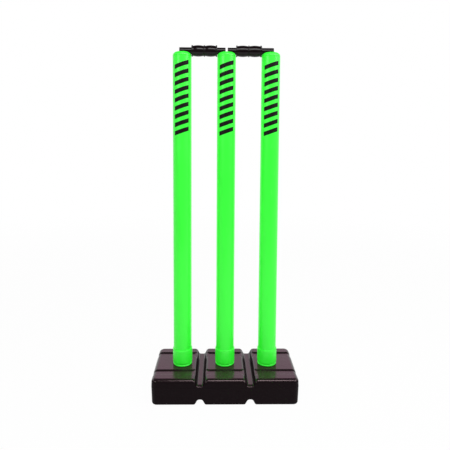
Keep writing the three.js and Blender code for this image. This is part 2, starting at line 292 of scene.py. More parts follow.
class Skin:
    """Points and faces of one skin, added a block at a time."""

    def __init__(self):
        self.points = []
        self.faces = []
        self.count = 0

    def add(self, points):
        points = np.asarray(points, float).reshape(-1, 3)
        self.points.append(points)
        self.count += len(points)
        return np.arange(self.count - len(points), self.count)

    def place(self, indices):
        return np.concatenate(self.points)[indices]

    def weave(self, block, holes=()):
        """Quads between the rows and columns of a block of indices."""
        quads = np.stack([block[:-1, :-1], block[1:, :-1], block[1:, 1:], block[:-1, 1:]], -1)
        keep = np.ones(quads.shape[:2], bool)
        for rows, columns in holes:
            keep[rows.start:rows.stop - 1, columns.start:columns.stop - 1] = False
        self.faces.extend(quads[keep].tolist())

    def ring(self, one, other):
        """Quads between two closed loops."""
        self.weave(np.array([np.append(one, one[0]), np.append(other, other[0])]))

    def close(self, loop):
        """A fan from a loop to its own middle."""
        middle = self.add(self.place(loop).mean(0))[0]
        self.faces.extend([a, b, middle] for a, b in zip(loop.tolist(), np.roll(loop, -1).tolist()))


def border(block):
    """The indices round a block, in order."""
    return np.concatenate([block[0, :-1], block[:-1, -1], block[-1, :0:-1], block[:0:-1, 0]])


def ruled(stops, extra=()):
    """Lines from stop to stop, where each stop is (place, widest step up to it), and extra ones."""
    lines = [stops[0][0]]
    for (start, _), (end, step) in zip(stops, stops[1:]):
        count = max(1, math.ceil((end - start) / step - TINY))
        lines.extend(np.linspace(start, end, count + 1)[1:])
    lines = sorted([*lines, *extra])
    return np.array([a for a, b in zip(lines, lines[1:] + [math.inf]) if b - a > LINE_GAP])


def mirrored(lines):
    return np.concatenate([-lines[:0:-1], lines])


def span(lines, low, high):
    """The slice of lines from one value to another."""
    first = int(np.argmin(abs(lines - low)))
    last = int(np.argmin(abs(lines - high)))
    return slice(min(first, last), max(first, last) + 1)


def sink(skin, loop, centre, axes, line, shift=None):
    """Rings from a loop to the round line (radius, depth) and along it. Returns the last one."""
    right, up, inward = (np.array(axis, float) for axis in axes)
    start = skin.place(loop)
    flat = start - centre
    angle = np.arctan2(flat @ up, flat @ right)
    spokes = np.cos(angle)[:, None] * right + np.sin(angle)[:, None] * up
    rings = [centre + radius * spokes + depth * inward for radius, depth in line]
    if shift:
        rings = [shift(points, depth) for points, (_, depth) in zip(rings, line)]
    lead_in = [start * (1 - share) + rings[0] * share for share in LEAD_IN_SHARES]
    last = loop
    for points in [*lead_in, *rings]:
        here = skin.add(points)
        skin.ring(last, here)
        last = here
    return last


print("helpers ready: a 3 x 3 block has a border of", len(border(np.zeros((3, 3)))), "points")

# %% [markdown]
# ## The base, 4: the grid of its plan
# The grid lines are close where the shape turns and wide where it is flat. In the rounded
# corners of the plan, a square of the grid is bent onto a quarter of a disc, so that its
# faces stay nearly square. The outer skin is woven finely and the hollow's skin coarsely,
# because nobody looks closely at the inside.

# %% The grid of the plan
SOCKET_SQUARE = 24 * MM
FILLER_SQUARE = 19.7 * MM
CHANNEL_REACH = 18 * MM
GROOVE_REACH = 14.5 * MM
SOCKET_STEP = 2.4 * MM
FILLER_STEP = 2.1 * MM
BETWEEN_STEP = 1.5 * MM
PLAN_CORE = CORNER_RADIUS - TOP_EDGE
OUTER_FINENESS = (0.7 * MM, 1.25 * MM, 3.2 * MM, 9)
INNER_FINENESS = (2 * MM, 3 * MM, 6 * MM, 5)


def fineness(wall):
    """Widest steps at a bend, at a feature and on the flat, and the points of a rounded edge."""
    return INNER_FINENESS if wall else OUTER_FINENESS


def plan_lines(wall):
    """The grid lines across and along the base."""
    bend, fine, wide, _ = fineness(wall)
    inset = RIDGE_ROOM + TOP_EDGE + drawn(base_height)
    reach_x = base_length / 2 - inset
    reach_y = base_depth / 2 - inset
    socket = stump_pitch - SOCKET_SQUARE
    bends_x, bends_y = (), ()
    if wall == 0:
        channel = channel_line(TOP_CHANNEL, wall)[:, 0]
        groove = groove_line(wall)[2:, 0]
        bends_x = [*(CHANNEL_CENTRE - channel), *(CHANNEL_CENTRE + channel)]
        bends_y = [*(GROOVE_CENTRE - groove), *(GROOVE_CENTRE + groove)]
    x = ruled([
        (0, 0), (FILLER_SQUARE, FILLER_STEP), (SOCKET_SQUARE, BETWEEN_STEP),
        (CHANNEL_CENTRE - CHANNEL_REACH, wide), (CHANNEL_CENTRE + CHANNEL_REACH, fine),
        (socket, wide), (socket + 2 * SOCKET_SQUARE, SOCKET_STEP),
        (reach_x - PLAN_CORE, wide), (reach_x, bend),
    ], bends_x)
    y = ruled([
        (0, 0), (SOCKET_SQUARE, SOCKET_STEP),
        (GROOVE_CENTRE - GROOVE_REACH, wide), (GROOVE_CENTRE + GROOVE_REACH, fine),
        (reach_y - PLAN_CORE, wide), (reach_y, bend),
    ], bends_y)
    return mirrored(x), mirrored(y)


def bend_corners(x, y):
    """Bends the corner squares of a grid onto quarter discs."""
    across_x = np.clip((abs(x) - (abs(x).max() - PLAN_CORE)) / PLAN_CORE, 0, 1)
    across_y = np.clip((abs(y) - (abs(y).max() - PLAN_CORE)) / PLAN_CORE, 0, 1)
    inset_x = (across_x - across_x * np.sqrt(1 - across_y ** 2 / 2)) * PLAN_CORE
    inset_y = (across_y - across_y * np.sqrt(1 - across_x ** 2 / 2)) * PLAN_CORE
    return x - np.sign(x) * inset_x, y - np.sign(y) * inset_y


print("grid lines of the outer skin: %d x %d" % tuple(len(lines) for lines in plan_lines(0)))

# %% [markdown]
# ## The base, 5: its wall
# Rings run from the rim of the top round the rounded edge, down the wall and in under it.
# They follow the local height, so the ends of the channels get soft lips, and where the rim
# dips into a channel the rounded edges shrink with it. A hair line stands out where the two
# halves of the mould met.

# %% The rings of the wall
PARTING_ROWS = (-0.5 * MM, -0.15 * MM, 0.15 * MM, 0.5 * MM)
PARTING_MARGIN = 0.9 * MM
PARTING_HALF = 0.2 * MM
PARTING_RIDGE = 0.12 * MM
LEAST_ROUND_SHARE = 0.35
TOP_DIP_HEIGHT = 36 * MM
UNDER_RISE_HEIGHT = 20 * MM
UNDER_RIM_SHARES = (0.66, 0.33, 0)
FILLER_HEIGHT = (bung_low.z + bung_high.z) / 2


def outward(rim, outline):
    """The outward direction at each point of the plan's rim."""
    from_core = [
        np.sign(part) * np.clip(abs(part) - (reach - PLAN_CORE), 0, None)
        for part, reach in zip(rim, outline)
    ]
    return from_core / np.hypot(*from_core)


def wall_rows():
    """Heights of the wall's rows between its two rounded edges, from the top down."""
    rows = ruled([(FILLER_HEIGHT - FILLER_SQUARE, 0), (FILLER_HEIGHT + FILLER_SQUARE, FILLER_STEP)])
    rows = [row for row in rows if abs(row - PARTING_HEIGHT) > PARTING_MARGIN]
    return np.array(sorted([*rows, *(PARTING_HEIGHT + row for row in PARTING_ROWS)], reverse=True))


def wall_rings(skin, rim, outline, wall):
    """The rings from the rim of the top to the underside, and which of them are the wall's rows."""
    edge = TOP_EDGE - wall
    under_edge = UNDER_EDGE - wall
    roof = base_height - wall
    x, y, top_rim = skin.place(rim).T
    out_x, out_y = outward((x, y), outline)
    under_rim = under_depth(x, wall)
    top_share = (top_rim - TOP_DIP_HEIGHT) / (roof - TOP_DIP_HEIGHT)
    under_share = (UNDER_RISE_HEIGHT - under_rim) / (UNDER_RISE_HEIGHT - wall)
    top_round, under_round = (
        size * (LEAST_ROUND_SHARE + (1 - LEAST_ROUND_SHARE) * share)
        for size, share in ((edge, top_share), (under_edge, under_share)))
    rings = [rim]

    def add_ring(z, bulge, swing):
        reach = bulge + (drawn(base_height) - drawn(z)) * swing
        rings.append(skin.add(np.stack([x + out_x * reach, y + out_y * reach, z], -1)))

    quarter = np.radians(np.linspace(0, 90, fineness(wall)[-1]))
    for angle in quarter[1:]:
        add_ring(top_rim - top_round * (1 - math.cos(angle)), edge * math.sin(angle), math.sin(angle))
    upper = (top_rim - top_round - PARTING_HEIGHT) / (roof - edge - PARTING_HEIGHT)
    lower = (PARTING_HEIGHT - under_rim - under_round) / (PARTING_HEIGHT - wall - under_edge)
    rows = wall_rows()
    for height in rows:
        z = PARTING_HEIGHT + (height - PARTING_HEIGHT) * (upper if height > PARTING_HEIGHT else lower)
        on_seam = wall == 0 and abs(height - PARTING_HEIGHT) < PARTING_HALF
        add_ring(z, edge + (PARTING_RIDGE if on_seam else 0), 1)
    for angle in quarter[::-1]:
        bulge = edge - under_edge * (1 - math.sin(angle))
        add_ring(under_rim + under_round * (1 - math.cos(angle)), bulge, 1)
    for share in UNDER_RIM_SHARES:
        add_ring(under_rim, (edge - under_edge) * share, 1)
    sides = np.array(rings)
    return np.hstack([sides, sides[:, :1]]), slice(len(quarter), len(quarter) + len(rows))


print("rows of the wall:", len(wall_rows()))

# %% [markdown]
# ## The base, 6: sockets and filler
# A socket is a round well in the top, and the filler is a recess in the back wall with a
# neck behind it. Both start at the border of a square that is left out of the weave. The
# filler's first rings are laid onto the leaning wall, and its last one is left open.

# %% Sockets and filler
SOCKET_RADIUS = 17.3 * MM
SOCKET_FLOOR = 12.5 * MM
SOCKET_LIP = 1.6 * MM
SOCKET_FLOOR_ROUND = 1.5 * MM
SOCKET_FLOOR_CENTRE = 2 * MM
FILLER_RADIUS = 17 * MM
FILLER_DEPTH = 8.5 * MM
FILLER_HOLE = 11 * MM
FILLER_LIP = 0.5 * MM
FILLER_LIP_ROUND = 0.45 * MM
FILLER_WALL = 2 * MM
FILLER_NECK = 8 * MM
FILLER_FIT_DEPTH = 3 * MM
SQUARE_MARGIN = 0.1 * MM


def add_sockets(skin, top, lines_x, lines_y, wall):
    """Weaves the top with three squares left out, and sinks a socket in each."""
    columns = span(lines_y, -SOCKET_SQUARE, SOCKET_SQUARE)
    squares = []
    for place in stump_places:
        squares.append((span(lines_x, place - SOCKET_SQUARE, place + SOCKET_SQUARE), columns))
    skin.weave(top, squares)
    radius = SOCKET_RADIUS + wall
    depth = base_height - SOCKET_FLOOR
    line = soft_line([
        (radius + SOCKET_LIP, 0, 0), (radius, 0, SOFT_ROUND),
        (radius, depth, SOCKET_FLOOR_ROUND), (SOCKET_FLOOR_CENTRE, depth, 0),
    ], ROUND_STEPS)
    axes = ((1, 0, 0), (0, 1, 0), (0, 0, -1))
    for place, square in zip(stump_places, squares):
        centre = np.array([place, 0, base_height - wall])
        skin.close(sink(skin, border(top[square]), centre, axes, line))


def filler_columns(skin, sides):
    """The columns of the wall that the filler's square takes, in the middle of the back."""
    reach = FILLER_SQUARE + SQUARE_MARGIN
    x, y, _ = skin.place(sides[0]).T
    back = np.nonzero((y > 0) & (abs(x) < reach))[0]
    return slice(back[0], back[-1] + 1)


def lay_on_wall(points, depth):
    """Moves the filler's first rings in, to where the leaning wall is."""
    share = 1 - min(depth / FILLER_FIT_DEPTH, 1)
    points[:, 1] -= (drawn(points[:, 2]) + RIDGE_ROOM) * share
    return points


def add_filler(skin, loop, wall):
    """Sinks the filler's recess and neck, and returns the neck's end."""
    face = base_depth / 2 - wall
    neck = face - (base_depth / 2 - FILLER_DEPTH - SHELL_WALL - FILLER_NECK)
    recess = FILLER_RADIUS + min(wall, FILLER_WALL)
    hole = FILLER_HOLE + wall
    line = soft_line([
        (recess + FILLER_LIP, 0, 0), (recess, 0, FILLER_LIP_ROUND),
        (recess, FILLER_DEPTH, SOFT_ROUND),
        (hole, FILLER_DEPTH, SMALL_ROUND if wall == 0 else SOFT_ROUND), (hole, neck, 0),
    ], ROUND_STEPS)
    axes = ((1, 0, 0), (0, 0, 1), (0, -1, 0))
    return sink(skin, loop, np.array([0, face, FILLER_HEIGHT]), axes, line, lay_on_wall)


print("filler hole %.0f mm wide, %.1f mm up" % (2 * FILLER_HOLE / MM, FILLER_HEIGHT / MM))

# %% [markdown]
# ## The base, 7: weaving it
# One function weaves a whole skin, for the outside with a wall of 0 and for the hollow with
# the real wall. The underside has the same plan as the top, drawn in a little further, and
# its outline is the last ring of the wall.

# %% Weave one skin of the base
def underside(skin, plan, outline, last_ring, wall):
    """The block of indices of the underside, inside the last ring of the wall."""
    draw = drawn(0) - drawn(base_height)
    x, y = (part * (1 - draw / reach) for part, reach in zip(plan, outline))
    under = skin.add(np.stack([x, y, under_depth(x, wall)], -1))
    under[border(np.arange(under.size).reshape(x.shape))] = last_ring
    return under.reshape(x.shape)


def base_skin(skin, wall):
    """Weaves the outer skin (wall 0) or the hollow's skin, and returns the filler neck's end."""
    lines_x, lines_y = plan_lines(wall)
    outline = lines_x[-1], lines_y[-1]
    plan = bend_corners(*np.meshgrid(lines_x, lines_y, indexing="ij"))
    top_z = base_height - top_depth(*plan, wall)
    top = skin.add(np.stack([*plan, top_z], -1)).reshape(top_z.shape)
    sides, rows = wall_rings(skin, border(top), outline, wall)
    filler = rows, filler_columns(skin, sides)
    skin.weave(sides, [filler])
    skin.weave(underside(skin, plan, outline, sides[-1, :-1], wall))
    add_sockets(skin, top, lines_x, lines_y, wall)
    return add_filler(skin, border(sides[filler]), wall)


print("skins to weave: walls of 0 and %.0f mm" % (SHELL_WALL / MM))

# %% [markdown]
# ## The base, 8: one closed shell
# The outer skin and the skin of the hollow meet at the inner end of the filler's neck, as
# they do on the real shell, so the two make one closed body with a real wall. Blender then
# turns all faces outwards in one go, because the shell is closed.

# %% Make the shell
def edit_mesh(mesh, edit):
    """Opens a mesh, lets a function edit it and writes it back."""
    work = bmesh.new()
    work.from_mesh(mesh)
    edit(work)
    work.to_mesh(mesh)
    work.free()


def clean(work):
    """Drops loose points and turns all faces outwards."""
    loose = [vertex for vertex in work.verts if not vertex.link_faces]
    bmesh.ops.delete(work, geom=loose, context="VERTS")
    bmesh.ops.recalc_face_normals(work, faces=work.faces[:])


def mesh_piece(name, points, faces):
    """A mesh object from points and faces."""
    mesh = bpy.data.meshes.new(name)
    mesh.from_pydata([tuple(point) for point in points], [], faces)
    edit_mesh(mesh, clean)
    mesh.shade_smooth()
    return add_object(name, mesh)


shell = Skin()
outer_neck = base_skin(shell, 0.0)
inner_neck = base_skin(shell, SHELL_WALL)
shell.ring(outer_neck, inner_neck)
base_mould = mesh_piece("base_mould", np.concatenate(shell.points), shell.faces)
print("base shell:", len(base_mould.data.polygons), "faces")

# %% [markdown]
# ## Node trees as sums
# Geometry and shader trees both grow from small sums. One class wraps a socket and lets a
# sum be written in plain Python: each operator adds its own Math node. A second class owns
# the tree and has one method for every other node, which takes the node's type, its
# settings and what goes into its sockets.

# %% Sockets that can be added and multiplied
OPERATORS = {
    "add": "ADD", "sub": "SUBTRACT", "mul": "MULTIPLY", "truediv": "DIVIDE", "mod": "FLOORED_MODULO",
}


class Wire:
    """One output socket of a tree, and what can be done with it."""

    def __init__(self, bench, socket):
        self.bench = bench
        self.socket = socket

    def __abs__(self):
        return self.bench.sum("ABSOLUTE", self)

    def round(self):
        return self.bench.sum("ROUND", self)

    def step(self, low, high):
        """0 below low, 1 above high, and a soft step between them."""
        return self.bench.add(
            "ShaderNodeMapRange", {"interpolation_type": "SMOOTHSTEP"},
            {"Value": self, "From Min": low, "From Max": high, "To Min": 0.0, "To Max": 1.0})


def teach(name, operation):
    """Gives wires an operator, with the wire on its left or on its right."""
    setattr(Wire, f"__{name}__", lambda wire, other: wire.bench.sum(operation, wire, other))
    setattr(Wire, f"__r{name}__", lambda wire, other: wire.bench.sum(operation, other, wire))


for name, operation in OPERATORS.items():
    teach(name, operation)


class Bench:
    """A node tree, and the ways to add to it. Colours are given as (red, green, blue)."""

    def __init__(self, tree):
        self.tree = tree

    def add(self, kind, settings=None, sockets=None, out=0):
        node = self.tree.nodes.new(kind)
        for name, value in (settings or {}).items():
            if name == "stops":
                self.set_stops(node.color_ramp, value)
            else:
                setattr(node, name, value)
        for name, value in (sockets or {}).items():
            socket = node.inputs[name]
            if isinstance(value, Wire):
                self.tree.links.new(value.socket, socket)
            else:
                socket.default_value = (*value, 1.0) if socket.type == "RGBA" else value
        return Wire(self, node.outputs[out]) if node.outputs else node

    def set_stops(self, ramp, stops):
        while len(ramp.elements) < len(stops):
            ramp.elements.new(1.0)
        for element, (place, color) in zip(ramp.elements, stops):
            element.position = place
            element.color = (*color, 1.0)

    def sum(self, operation, *values):
        return self.add("ShaderNodeMath", {"operation": operation}, dict(enumerate(values)))

    def other(self, wire, out):
        """Another output of the node that a wire comes from."""
        return Wire(self, wire.socket.node.outputs[out])

    def parts(self, vector):
        """The three parts of a vector."""
        x = self.add("ShaderNodeSeparateXYZ", None, {"Vector": vector})
        return x, self.other(x, "Y"), self.other(x, "Z")


print("operators taught:", ", ".join(OPERATORS))

# %% [markdown]
# ## A lathe made of nodes
# Tubes, caps, collars, bails, the bung and its seal are all turned: one outline swept round
# an axis. That rule is a good job for Geometry Nodes. The tree lays out a grid with one
# column for each outline point and one row for each step round, and moves every point to
# its place on the circle. Points that fall together, at the poles and at the closing seam,
# are merged, so the result is one closed skin.

# %% The lathe tree
MERGE_DISTANCE = 0.01 * MM


def lathe_tree():
    tree = bpy.data.node_groups.new("turn_on_a_lathe", "GeometryNodeTree")
    for name, kind in (("Outline", "Geometry"), ("Steps Round", "Int"), ("Finish", "Material")):
        tree.interface.new_socket(name, in_out="INPUT", socket_type=f"NodeSocket{kind}")
    tree.interface.new_socket("Turned", in_out="OUTPUT", socket_type="NodeSocketGeometry")
    bench = Bench(tree)
    outline = bench.add("NodeGroupInput")
    steps = bench.other(outline, "Steps Round")
    count = bench.add("GeometryNodeAttributeDomainSize", {"component": "MESH"}, {"Geometry": outline})
    grid = bench.add("GeometryNodeMeshGrid", None, {"Vertices X": steps + 1, "Vertices Y": count})
    index = bench.add("GeometryNodeInputIndex")
    turn_share = bench.sum("FLOOR", (index + 0.5) / count) / steps
    radius, _, height = bench.parts(bench.add(
        "GeometryNodeSampleIndex", {"data_type": "FLOAT_VECTOR", "domain": "POINT"},
        {"Geometry": outline, "Value": bench.add("GeometryNodeInputPosition"), "Index": index % count}))
    angle = turn_share * math.tau
    here = bench.add("ShaderNodeCombineXYZ", None, {
        "X": radius * bench.sum("COSINE", angle),
        "Y": radius * bench.sum("SINE", angle),
        "Z": height,
    })
    swept = bench.add("GeometryNodeSetPosition", None, {"Geometry": grid, "Position": here})
    merged = bench.add(
        "GeometryNodeMergeByDistance", None, {"Geometry": swept, "Distance": MERGE_DISTANCE})
    smooth = bench.add("GeometryNodeSetShadeSmooth", None, {"Geometry": merged})
    real = bench.add("GeometryNodeRealizeInstances", None, {"Geometry": smooth})
    finished = bench.add(
        "GeometryNodeSetMaterial", None, {"Geometry": real, "Material": bench.other(outline, "Finish")})
    bench.add("NodeGroupOutput", None, {"Turned": finished})
    return tree


LATHE = lathe_tree()
print("lathe tree:", len(LATHE.nodes), "nodes")

# %% [markdown]
# ## Finishes, 1: neon green plastic, its painted glow and its print
# The stumps are fluorescent plastic. A fixed share of green goes into the emission as a
# painted glow: it stands in for the fluorescence, but it shines the same whatever the lamps,
# so it also lights the green where shade falls. Drawing the tube leaves faint lines along it,
# and handling leaves short scuffs that dull the gloss. The printed field on the front is a row
# of equal slanted bars. The ink is a surface of its own, matt and black: it is mixed over the
# plastic, stands a hair above it, and hides the painted glow.

# %% Shared makers for the finishes
def new_finish(name):
    """An empty material, its bench and the place on the piece, in metres."""
    finish = bpy.data.materials.new(name)
    finish.use_nodes = True
    finish.node_tree.nodes.clear()
    bench = Bench(finish.node_tree)
    return finish, bench, bench.add("ShaderNodeTexCoord", None, None, "Object")


def close_finish(bench, surface):
    bench.add("ShaderNodeOutputMaterial", None, {"Surface": surface})


def noise(bench, place, scale, detail=2.0, roughness=0.5, stretch=None):
    """Soft noise. A stretch scales each direction first, which draws the pattern out."""
    if stretch:
        place = bench.add(
            "ShaderNodeMapping", {"vector_type": "POINT"}, {"Vector": place, "Scale": stretch})
    return bench.add("ShaderNodeTexNoise", None, {
        "Vector": place, "Scale": scale, "Detail": detail, "Roughness": roughness})


def blend(bench, share, one, two):
    """A colour between two colours."""
    return bench.add("ShaderNodeMix", {"data_type": "RGBA"}, {0: share, 6: one, 7: two}, 2)


def bump(bench, height, distance, normal=None):
    """A bump from a height of 0 to 1, which stands for that distance."""
    below = {"Normal": normal} if normal else {}
    return bench.add("ShaderNodeBump", None, {
        "Strength": 1.0, "Distance": distance, "Height": height, **below})


def plastic(bench, color, rough, normal, specular=0.5, **more):
    return bench.add("ShaderNodeBsdfPrincipled", None, {
        "Base Color": color, "Roughness": rough, "Normal": normal, "Specular IOR Level": specular,
        **{name.replace("_", " "): value for name, value in more.items()}})


def roughness(levels, grain, scuffs):
    """A plain roughness and what the grain and the scuffs add to it."""
    plain, by_grain, by_scuffs = levels
    return plain + grain * by_grain + scuffs * by_scuffs


def mixed(bench, share, one, two):
    """One surface where the share is 0, and the other where it is 1."""
    return bench.add("ShaderNodeMixShader", None, {0: share, 1: one, 2: two})


print("shared makers ready")

# %% The printed bars
PRINT_LOW = 568 * MM
PRINT_HIGH = 725 * MM
PRINT_HALF = 14.7 * MM
PRINT_SOFT = 0.12 * MM
BAR_COUNT = 9
BAR_PITCH = (PRINT_HIGH - PRINT_LOW) / BAR_COUNT
BAR_THICK = 9.2 * MM
BAR_SLANT = 0.36
FRONT_SOFT = 1 * MM


def past(value, edge, soft=PRINT_SOFT):
    """1 past an edge, and 0 before it."""
    return value.step(edge - soft, edge + soft)


def print_mask(bench, place):
    """1 on the printed bars on the front of a stump, and 0 elsewhere."""
    x, y, z = bench.parts(place)
    aside = x - (x / stump_pitch).round() * stump_pitch
    height = z - aside * BAR_SLANT - PRINT_LOW
    bar = 1 - past(abs(height % BAR_PITCH - BAR_PITCH / 2), BAR_THICK / 2)
    sides = 1 - past(abs(aside), PRINT_HALF)
    above = past(height, 0)
    below = 1 - past(height, PRINT_HIGH - PRINT_LOW)
    front = 1 - past(y, 0, FRONT_SOFT)
    return bar * sides * above * below * front


print("print: %d bars, %.1f mm apart" % (BAR_COUNT, BAR_PITCH / MM))

# %% Neon green plastic
# A pattern is (scale, detail, roughness, stretch), an edge is the two noise levels of a soft
# step, and the three numbers of a roughness are the plain one, the grain's and the scuffs'.
DRAWN_LINES = (900.0, 3.0, 0.5, (1.0, 1.0, 0.012))
GREEN_CLOUD = (14.0, 3.0)
GREEN_SCUFFS = (260.0, 4.0, 0.62, (1.0, 1.0, 0.16))
GREEN_SCUFF_EDGE = (0.63, 0.7)
GREEN_DEEP = (0.034, 0.84, 0.038)
GREEN_LIGHT = (0.044, 0.92, 0.048)
GREEN_SCUFFED = (0.10, 0.78, 0.10)
# Painted glow: a fixed green emission that lights the stumps alike in light and in shade.
PAINTED_GLOW_DEEP = (0.0, 0.15, 0.0)
PAINTED_GLOW_LIGHT = (0.002, 0.17, 0.003)
GREEN_ROUGH = (0.27, 0.08, 0.16)
GREEN_SCUFF_TINT = 0.3
GREEN_RELIEF = 0.02 * MM
GREEN_IOR = 1.49
INK_GRAIN = (1400.0,)
INK_WEAR = (420.0, 4.0, 0.6)
INK_WEAR_EDGE = (0.70, 0.76)
INK_BLACK = (0.006, 0.003, 0.004)
INK_THICK = 0.05 * MM
INK_WEAR_SHARE = 0.5
INK_ROUGH = 0.42
INK_GRAIN_ROUGH = 0.1
INK_SPECULAR = 0.12


def neon_green(name, printed):
    finish, bench, place = new_finish(name)
    lines = noise(bench, place, *DRAWN_LINES)
    cloud = noise(bench, place, *GREEN_CLOUD)
    scuffs = noise(bench, place, *GREEN_SCUFFS).step(*GREEN_SCUFF_EDGE)
    color = blend(bench, cloud, GREEN_DEEP, GREEN_LIGHT)
    color = blend(bench, scuffs * GREEN_SCUFF_TINT, color, GREEN_SCUFFED)
    # The painted glow stands in for fluorescence and shines the same whatever the lamps.
    painted_glow = blend(bench, cloud, PAINTED_GLOW_DEEP, PAINTED_GLOW_LIGHT)
    rough = roughness(GREEN_ROUGH, cloud, scuffs)
    normal = bump(bench, lines * 0.5 + cloud * 0.5, GREEN_RELIEF)
    if printed:
        ink = print_mask(bench, place)
        normal = bump(bench, ink, INK_THICK, normal)
    surface = plastic(
        bench, color, rough, normal, Emission_Color=painted_glow, Emission_Strength=1.0, IOR=GREEN_IOR)
    if printed:
        grain = noise(bench, place, *INK_GRAIN)
        worn = ink * (1 - noise(bench, place, *INK_WEAR).step(*INK_WEAR_EDGE) * INK_WEAR_SHARE)
        black = plastic(bench, INK_BLACK, INK_ROUGH + grain * INK_GRAIN_ROUGH, normal, INK_SPECULAR)
        surface = mixed(bench, worn, surface, black)
    close_finish(bench, surface)
    return finish


NEON_TUBE = neon_green("neon_green_printed_tube", True)
NEON_PLAIN = neon_green("neon_green_moulding", False)
print("green finishes:", NEON_TUBE.name, "and", NEON_PLAIN.name)

# %% [markdown]
# ## Finishes, 2: the blacks, the rubber and the sand
# Four things here are nearly black and each is different. The base is glossy on top, where
# the mould was polished, dull on its walls, and rubbed smooth along its rounded edges, so
# three copies of one plastic are mixed by how far the surface faces up. The copies also
# paint the base's light and shade: the top's copy is lighter and purple, with a strong tinted
# reflection, a painted sheen; the walls' copy is darker and barely reflects, painted shade
# that keeps the front dark; the edges' copy lies between. The bails are turned from hard
# plastic, with fine rings round them. The bung is satin with a fine grain. The seal is matt
# rubber.

# %% The base's black plastic, with painted light and shade
BASE_WAVES = (26.0,)
BASE_GRAIN = (900.0, 3.0, 0.6)
BASE_SCUFFS = (190.0, 5.0, 0.65, (1.0, 0.35, 1.0))
BASE_SCUFF_EDGE = (0.62, 0.72)
BASE_WAVE_DEPTH = 0.25 * MM
BASE_GRAIN_DEPTH = 0.012 * MM
# The facings and the copies below paint light and shade: a lighter, strongly reflecting top and darker,
# barely reflecting walls.
SHADED_WALL_TO_EDGE_FACING = (0.44, 0.6)
LIT_TOP_FACING = (0.955, 0.993)
WALL_ROUGH = (0.42, 0.06, 0.12)
SHADED_WALL_SPECULAR = 0.05
SHADED_WALL_BLACK = (0.0075, 0.0040, 0.0052)
WALL_SCUFFED = (0.05, 0.035, 0.04)
WALL_SCUFF_TINT = 0.25
EDGE_ROUGH = (0.16, 0.05, 0.1)
EDGE_SPECULAR = 0.5
EDGE_BLACK = (0.010, 0.005, 0.0065)
EDGE_PAINTED_SHEEN = (1.0, 0.75, 0.8)
TOP_ROUGH = (0.18, 0.05, 0.12)
LIT_TOP_SPECULAR = 0.6
LIT_TOP_BLACK = (0.034, 0.007, 0.020)
TOP_SCUFFED = (0.06, 0.035, 0.045)
TOP_SCUFF_TINT = 0.2
TOP_PAINTED_SHEEN = (1.0, 0.4, 0.6)


def base_black():
    """Three copies of one plastic, mixed by how far the surface faces up: a lighter top with a painted
    sheen, darker walls with painted shade, and rounded edges between.
    """
    finish, bench, place = new_finish("base_black_painted_light_and_shade")
    facing = bench.parts(bench.add("ShaderNodeTexCoord", None, None, "Normal"))[2]
    grain = noise(bench, place, *BASE_GRAIN)
    scuffs = noise(bench, place, *BASE_SCUFFS).step(*BASE_SCUFF_EDGE)
    normal = bump(bench, noise(bench, place, *BASE_WAVES), BASE_WAVE_DEPTH)
    normal = bump(bench, grain, BASE_GRAIN_DEPTH, normal)
    wall_rough, edge_rough, top_rough = (
        roughness(levels, grain, scuffs) for levels in (WALL_ROUGH, EDGE_ROUGH, TOP_ROUGH))
    # Painted light and shade: the top's colour is lighter than the walls'.
    shaded_wall_color = blend(bench, scuffs * WALL_SCUFF_TINT, SHADED_WALL_BLACK, WALL_SCUFFED)
    lit_top_color = blend(bench, scuffs * TOP_SCUFF_TINT, LIT_TOP_BLACK, TOP_SCUFFED)
    # The walls' copy barely reflects and the top's reflects strongly with a tint: painted shade and
    # painted sheen.
    wall = plastic(bench, shaded_wall_color, wall_rough, normal, SHADED_WALL_SPECULAR)
    edge = plastic(bench, EDGE_BLACK, edge_rough, normal, EDGE_SPECULAR, Specular_Tint=EDGE_PAINTED_SHEEN)
    top = plastic(bench, lit_top_color, top_rough, normal, LIT_TOP_SPECULAR, Specular_Tint=TOP_PAINTED_SHEEN)
    # Mixing by facing puts the painted light on top and the painted shade on the walls.
    side = mixed(bench, facing.step(*SHADED_WALL_TO_EDGE_FACING), wall, edge)
    close_finish(bench, mixed(bench, facing.step(*LIT_TOP_FACING), side, top))
    return finish


BASE_BLACK = base_black()
print("base finish:", len(BASE_BLACK.node_tree.nodes), "nodes")

# %% The bails, the bung and the seal
BLACK_GRAIN_SCALE = 1200.0
BLACK_GRAIN_DETAIL = (3.0, 0.6)
BLACK_WEAR = (160.0, 4.0, 0.6)
BLACK_WEAR_EDGE = (0.58, 0.74)
BLACK_ROUGH_SHARES = (0.06, 0.06)
WORN_TINT = 0.5
WORN_GAIN = 2
WORN_LIFT = 0.002
GRAIN_DEPTH = 0.01 * MM
RING_DEPTH = 0.02 * MM
BAIL_RINGS = (2600.0, 2.0, 0.5, (1.0, 0.01, 0.01))


def small_black(name, color, rough, specular, grain_scale=BLACK_GRAIN_SCALE, rings=None):
    """A nearly black finish with a fine grain, and rings round the piece if it is turned."""
    finish, bench, place = new_finish(name)
    grain = noise(bench, place, grain_scale, *BLACK_GRAIN_DETAIL)
    worn = noise(bench, place, *BLACK_WEAR).step(*BLACK_WEAR_EDGE)
    worn_color = tuple(part * WORN_GAIN + WORN_LIFT for part in color)
    tone = blend(bench, worn * WORN_TINT, color, worn_color)
    normal = bump(bench, grain, GRAIN_DEPTH)
    if rings:
        normal = bump(bench, noise(bench, place, *rings), RING_DEPTH, normal)
    rough = roughness((rough, *BLACK_ROUGH_SHARES), grain, worn)
    close_finish(bench, plastic(bench, tone, rough, normal, specular))
    return finish


